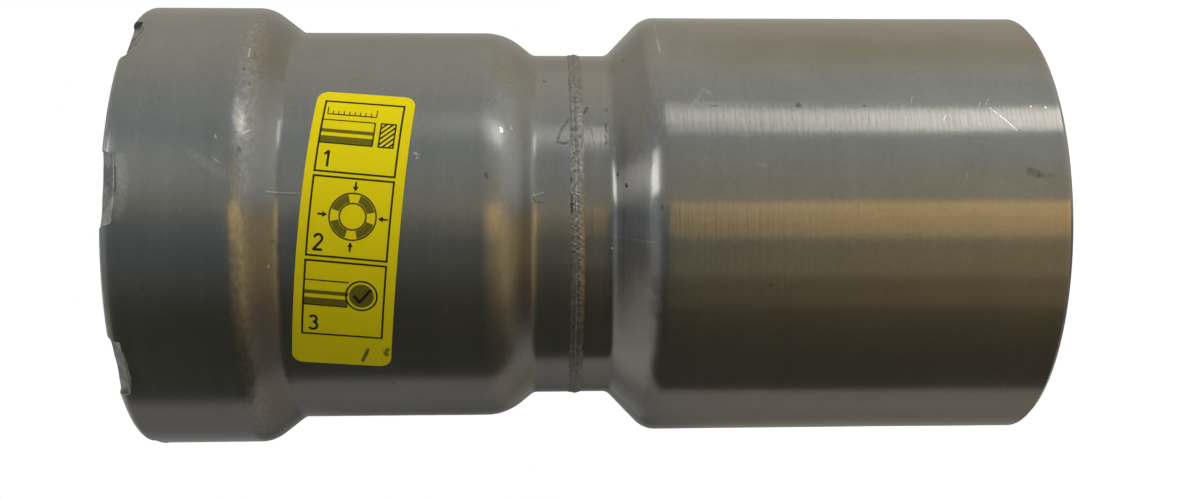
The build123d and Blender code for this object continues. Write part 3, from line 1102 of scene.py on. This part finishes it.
def make_label_figures(line_finish, shade_finish):
    lines, shade = label_figures()
    low = label_thickness
    fields = wrapped("label_shade", shade, low, low + ink_rise / 2, shade_finish)
    drawn = wrapped("label_lines", lines, low, low + ink_rise, line_finish)
    return fields, drawn


def placed_camera():
    """Camera beside the standing fitting, turned so that the socket's mouth is on its left."""
    tilt = radians(camera_azimuth)
    turn = radians(camera_turn)
    roll = radians(camera_roll)
    right = Vector((0, 0, -1))
    up = Vector((cos(tilt), sin(tilt), 0))
    ahead = Vector((-sin(tilt), cos(tilt), 0))
    side = right * cos(turn) - ahead * sin(turn)
    forward = right * sin(turn) + ahead * cos(turn)
    level_side = side * cos(roll) - up * sin(roll)
    level_up = side * sin(roll) + up * cos(roll)
    aim = Vector((0, 0, camera_height))
    camera = bpy.data.objects.new("camera", bpy.data.cameras.new("camera"))
    camera.data.lens = focal_length
    camera.data.shift_y = lens_drop
    turned_to = Matrix((level_side, level_up, -forward)).transposed().to_4x4()
    camera.matrix_world = Matrix.Translation(aim - forward * camera_distance) @ turned_to
    camera.data.clip_start = 0.01
    camera.data.clip_end = 20.0
    bpy.context.scene.collection.objects.link(camera)
    bpy.context.scene.camera = camera


def seen_directly(wiring):
    """One for rays that show the background: to the camera, off metal or through glass."""
    path = wiring.tree.nodes.new("ShaderNodeLightPath")
    kinds = ("Is Camera Ray", "Is Glossy Ray", "Is Transmission Ray")
    camera, glossy, through = [Signal(wiring, path.outputs[kind]) for kind in kinds]
    return wiring.maths("MAXIMUM", wiring.maths("MAXIMUM", camera, glossy), through)


def light_world(level):
    """White surroundings that light the object at a plain level."""
    world = bpy.data.worlds.new("surroundings")
    world.use_nodes = True
    bpy.context.scene.world = world
    wiring = Wiring(world.node_tree)
    background = world.node_tree.nodes["Background"]
    background.inputs["Color"].default_value = (1, 1, 1, 1)
    wiring.link(level + (1 - level) * seen_directly(wiring), background.inputs["Strength"])


def make_floor():
    """White floor that keeps a soft shadow."""
    mesh = bpy.data.meshes.new("floor")
    corners = [(x * floor_reach, y * floor_reach, 0) for x, y in ((-1, -1), (1, -1), (1, 1), (-1, 1))]
    mesh.from_pydata(corners, [], [(0, 1, 2, 3)])
    floor = added("floor", mesh)
    finish = Finish("floor", Base_Color=(0.86, 0.86, 0.86, 1), Roughness=0.9, Specular_IOR_Level=0.1)
    glow = finish.node("ShaderNodeEmission", {}, {"Color": (1, 1, 1, 1), "Strength": floor_glow})
    lit = Signal(finish, finish.shader.outputs[0])
    mixed = finish.node("ShaderNodeMixShader", {}, {0: 0.5 * seen_directly(finish), 1: lit, 2: glow})
    finish.link(mixed, finish.tree.nodes["Material Output"].inputs["Surface"])
    mesh.materials.append(finish.material)
    floor.visible_glossy = False


def add_softbox(name, azimuth, elevation, distance, size, power, colour):
    """Area lamp aimed at the fitting's middle, placed by its bearing from the camera's side."""
    lamp = bpy.data.lights.new(name, "AREA")
    lamp.shape = "RECTANGLE"
    lamp.size, lamp.size_y = size
    lamp.energy = power
    lamp.color = colour
    bearing = radians(azimuth + camera_azimuth - 90)
    rise = radians(elevation)
    away = Vector((cos(bearing) * cos(rise), sin(bearing) * cos(rise), sin(rise)))
    holder = bpy.data.objects.new(name, lamp)
    holder.location = Vector((0, 0, mouth_height / 2)) + away * distance
    holder.rotation_euler = away.to_track_quat("Z", "Y").to_euler()
    holder.visible_glossy = False
    bpy.context.scene.collection.objects.link(holder)


# Light that the metal reflects, by bearing in degrees from the camera's side, counted towards the key lamp
plain_end_light = (
    (-180, (0.46, 0.43, 0.38)),
    (-160, (0.30, 0.28, 0.24)),
    (-136, (0.29, 0.27, 0.23)),
    (-115, (0.48, 0.43, 0.375)),
    (-103, (0.49, 0.435, 0.375)),
    (-100.5, (0.13, 0.12, 0.085)),
    (-88, (0.132, 0.118, 0.084)),
    (-75, (0.136, 0.121, 0.086)),
    (-60, (0.18, 0.153, 0.103)),
    (-47, (0.25, 0.20, 0.13)),
    (-44, (0.34, 0.27, 0.17)),
    (-39, (0.40, 0.32, 0.185)),
    (-34, (0.37, 0.29, 0.18)),
    (-29, (0.44, 0.36, 0.225)),
    (-26, (0.61, 0.51, 0.305)),
    (-14, (0.625, 0.53, 0.34)),
    (-8.5, (0.64, 0.555, 0.37)),
    (-7, (1.20, 0.92, 0.51)),
    (2, (1.60, 1.16, 0.58)),
    (10, (2.10, 1.45, 0.70)),
    (11.5, (0.86, 0.78, 0.57)),
    (24, (0.82, 0.775, 0.635)),
    (36, (0.87, 0.88, 0.85)),
    (46, (0.88, 0.94, 0.99)),
    (66, (1.06, 1.12, 1.17)),
    (80, (1.03, 1.08, 1.10)),
    (92, (1.07, 1.04, 0.95)),
    (107, (0.94, 0.86, 0.67)),
    (125, (0.89, 0.82, 0.68)),
    (139, (0.68, 0.61, 0.51)),
    (160, (0.48, 0.44, 0.37)),
    (180, (0.46, 0.43, 0.38)),
)
socket_light = (
    (-180, (0.42, 0.415, 0.40)),
    (-162, (0.22, 0.215, 0.205)),
    (-146, (0.13, 0.13, 0.125)),
    (-128, (0.29, 0.275, 0.27)),
    (-107, (0.42, 0.405, 0.395)),
    (-102, (0.39, 0.38, 0.37)),
    (-98, (0.095, 0.093, 0.085)),
    (-80, (0.100, 0.102, 0.083)),
    (-60, (0.090, 0.094, 0.070)),
    (-40, (0.10, 0.104, 0.092)),
    (-23, (0.155, 0.167, 0.165)),
    (-10, (0.18, 0.22, 0.23)),
    (-1, (0.225, 0.27, 0.29)),
    (6, (0.33, 0.37, 0.38)),
    (9, (0.54, 0.55, 0.52)),
    (14, (0.58, 0.58, 0.545)),
    (24, (0.585, 0.61, 0.60)),
    (45, (0.63, 0.675, 0.70)),
    (62, (0.74, 0.785, 0.79)),
    (72, (0.85, 0.87, 0.86)),
    (85, (0.97, 0.95, 0.88)),
    (104, (1.02, 0.98, 0.885)),
    (120, (0.88, 0.84, 0.75)),
    (140, (0.62, 0.585, 0.50)),
    (160, (0.46, 0.45, 0.41)),
    (180, (0.42, 0.415, 0.40)),
)
upper_light = (
    (-180, (0.56, 0.55, 0.53)),
    (-110, (0.66, 0.65, 0.62)),
    (-50, (0.44, 0.43, 0.41)),
    (0, (0.54, 0.60, 0.68)),
    (35, (0.64, 0.73, 0.84)),
    (70, (0.70, 0.74, 0.80)),
    (110, (0.80, 0.78, 0.72)),
    (180, (0.56, 0.55, 0.53)),
)
lower_light = (
    (-180, (0.46, 0.44, 0.41)),
    (-112, (0.50, 0.48, 0.46)),
    (-98, (0.26, 0.23, 0.19)),
    (-62, (0.38, 0.31, 0.20)),
    (-40, (0.85, 0.67, 0.36)),
    (-10, (1.10, 0.86, 0.46)),
    (10, (1.10, 0.92, 0.56)),
    (16, (0.95, 0.95, 0.90)),
    (45, (1.15, 1.20, 1.20)),
    (85, (1.20, 1.20, 1.12)),
    (112, (1.05, 1.0, 0.88)),
    (180, (0.46, 0.44, 0.41)),
)


def make_tent():
    """Ball of studio light round the fitting, which only reflections see."""
    form = bmesh.new()
    bmesh.ops.create_uvsphere(form, u_segments=96, v_segments=48, radius=tent_radius)
    mesh = bpy.data.meshes.new("light_tent")
    form.to_mesh(mesh)
    form.free()
    tent = added("light_tent", mesh)
    tent.location = (0, 0, mouth_height / 2)
    finish = Finish("light_tent")
    front = radians(camera_azimuth - 90)
    toward = finish.x * cos(front) + finish.y * sin(front)
    beside = finish.y * cos(front) - finish.x * sin(front)
    bearing = finish.maths("ARCTAN2", beside, toward) * (180 / pi)
    rise = finish.maths("ARCSINE", finish.height / tent_radius) * (180 / pi)
    plain_end = finish.ramp(bearing, plain_end_light)
    light = finish.blend(finish.smooth(rise, -11, -4), plain_end, finish.ramp(bearing, socket_light))
    light = finish.blend(finish.smooth(rise, 26, 42), light, finish.ramp(bearing, upper_light))
    light = finish.blend(finish.smooth(rise, -38, -28, 1.0, 0.0), light, finish.ramp(bearing, lower_light))
    under = finish.smooth(rise, -56, -42, 1.0, 0.0) * finish.smooth(bearing, 14, 34, 1.0, 0.0)
    light = finish.blend(under, light, finish.blend(1.0, light, (0.68, 0.66, 0.76, 1), "MULTIPLY"))
    along_tube = finish.window(rise, -33, -3, 1.5) * finish.smooth(rise, -24, -6, 2.9, 0.22)
    near_neck = finish.window(bearing, 54, 66, 0.7) * finish.window(rise, -4.8, -2.4, 0.6)
    tube_lamp = finish.window(bearing, 49.5, 62.5, 0.7) * along_tube + 4.4 * near_neck
    before_bead = finish.window(bearing, -32, 8, 8) * finish.smooth(rise, 9, 15)
    above_neck = finish.window(bearing, 72, 122, 10) * finish.window(rise, -3.5, 2, 1.2)
    under_bead = finish.smooth(bearing, -150, -125, 1.0, 0.0) * finish.smooth(rise, 9, 15)
    window = finish.window(bearing, 20, 46, 4) * finish.window(rise, 34, 66, 5)
    zenith = finish.window(beside / tent_radius, 0.18, 0.34, 0.04)
    zenith = zenith * finish.window(toward / tent_radius, -0.2, 0.1, 0.05)
    zenith = zenith * finish.smooth(rise, 55, 62)
    lights = (
        (tube_lamp, (1.0, 0.955, 0.92, 1)),
        (above_neck * 0.22, (1.0, 1.0, 1.0, 1)),
        (under_bead * 0.16, (1.0, 1.0, 1.0, 1)),
        (before_bead * 0.065, (0.85, 1.0, 1.1, 1)),
        (window * 3.2, (1.0, 1.0, 1.0, 1)),
        (zenith * 1.3, (1.0, 0.97, 0.96, 1)),
    )
    for amount, colour in lights:
        level = finish.node("ShaderNodeCombineColor", {}, {0: amount, 1: amount, 2: amount})
        light = finish.blend(1.0, light, finish.blend(1.0, level, colour, "MULTIPLY"), "ADD")
    glow = finish.node("ShaderNodeEmission", {}, {"Color": light, "Strength": 1.0})
    finish.link(glow, finish.tree.nodes["Material Output"].inputs["Surface"])
    mesh.materials.append(finish.material)
    for ray in ("camera", "diffuse", "transmission", "volume_scatter", "shadow"):
        setattr(tent, "visible_" + ray, False)


def dress():
    """Builds every piece, hangs it on the root body, hides the node that it stands for, and gives the kept
    CAD parts their finishes.
    """
    spigot_finish = coated_steel(
        "spigot_plating",
        grey=(0.205, 0.193, 0.170, 1),
        warm_grey=(0.196, 0.193, 0.178, 1),
        roughness=0.20,
        anisotropy=0.93,
        grooves=1.1,
        radius=spigot_radius,
        pale_marks=spigot_scratches,
        dark_marks=spigot_stains,
        worn_and_sheen_heights=((swage_bottom, 0.9 * MM, 0.10), (0.2 * MM, 0.5 * MM, 0.35)),
        tint_and_shade_heights=((weld_height, 1.6 * MM, 0.15),),
    )
    socket_finish = coated_steel(
        "socket_plating",
        grey=(0.196, 0.192, 0.176, 1),
        warm_grey=(0.190, 0.191, 0.181, 1),
        roughness=0.26,
        anisotropy=0.7,
        grooves=0.15,
        radius=body_radius,
        pale_marks=socket_scratches_and_glint,
        dark_marks=socket_stains,
        worn_and_sheen_heights=(
            (bead_top - 0.3 * MM, 1.3 * MM, 0.34),
            (mouth_height, 0.7 * MM, 0.35),
            (stop_top, 1.2 * MM, 0.12),
        ),
        # Painted shade: the band over the bead, darkened all round
        tint_and_shade_heights=(((bead_bottom + bead_top) / 2 + 0.5 * MM, 2.6 * MM, 0.45),),
    )
    struck = crushed_steel()
    burr = raised_burr()
    weld = weld_metal()
    rubber = seal_rubber()
    ring = ring_steel()
    black = ink("black_ink", (0.010, 0.008, 0.002, 1), (0.018, 0.014, 0.003, 1), 0.5)
    olive = ink("olive_ink", (0.10, 0.088, 0.003, 1), (0.15, 0.132, 0.003, 1), 0.5)
    fields, drawn = make_label_figures(black, olive)
    steel = (
        (make_spigot_shell(spigot_finish), "coated_steel", "spigot_body"),
        (make_socket_shell(socket_finish, struck), "coated_steel", "socket_body"),
        (make_stake_burrs(burr), "coated_steel", None),
        (make_weld_ripple(weld), "weld_metal", "weld_bead"),
        (make_label_film(label_film()), "label_film", "instruction_label"),
        (make_label_rules(black), "label_film", None),
        (make_label_numerals(black), "label_film", None),
        (fields, "label_film", None),
        (drawn, "label_film", None),
    )
    for piece, slot, node in steel:
        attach(piece, "root")
        if node:
            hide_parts(node)
    kept = (("sealing_element", rubber), ("separator_ring", ring), ("grip_ring", ring))
    for node, finish in kept:
        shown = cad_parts[node]
        if shown.material_slots:
            shown.material_slots[0].material = finish
        else:
            shown.data.materials.append(finish)


placed_camera()
light_world(world_light)
make_floor()
make_tent()
add_softbox(
    "key_softbox",
    azimuth=65,
    elevation=15,
    distance=0.7,
    size=(0.5, 0.8),
    power=5.2,
    colour=(1.0, 0.99, 0.97),
)
dress()

bpy.context.scene.view_settings.view_transform = "Standard"
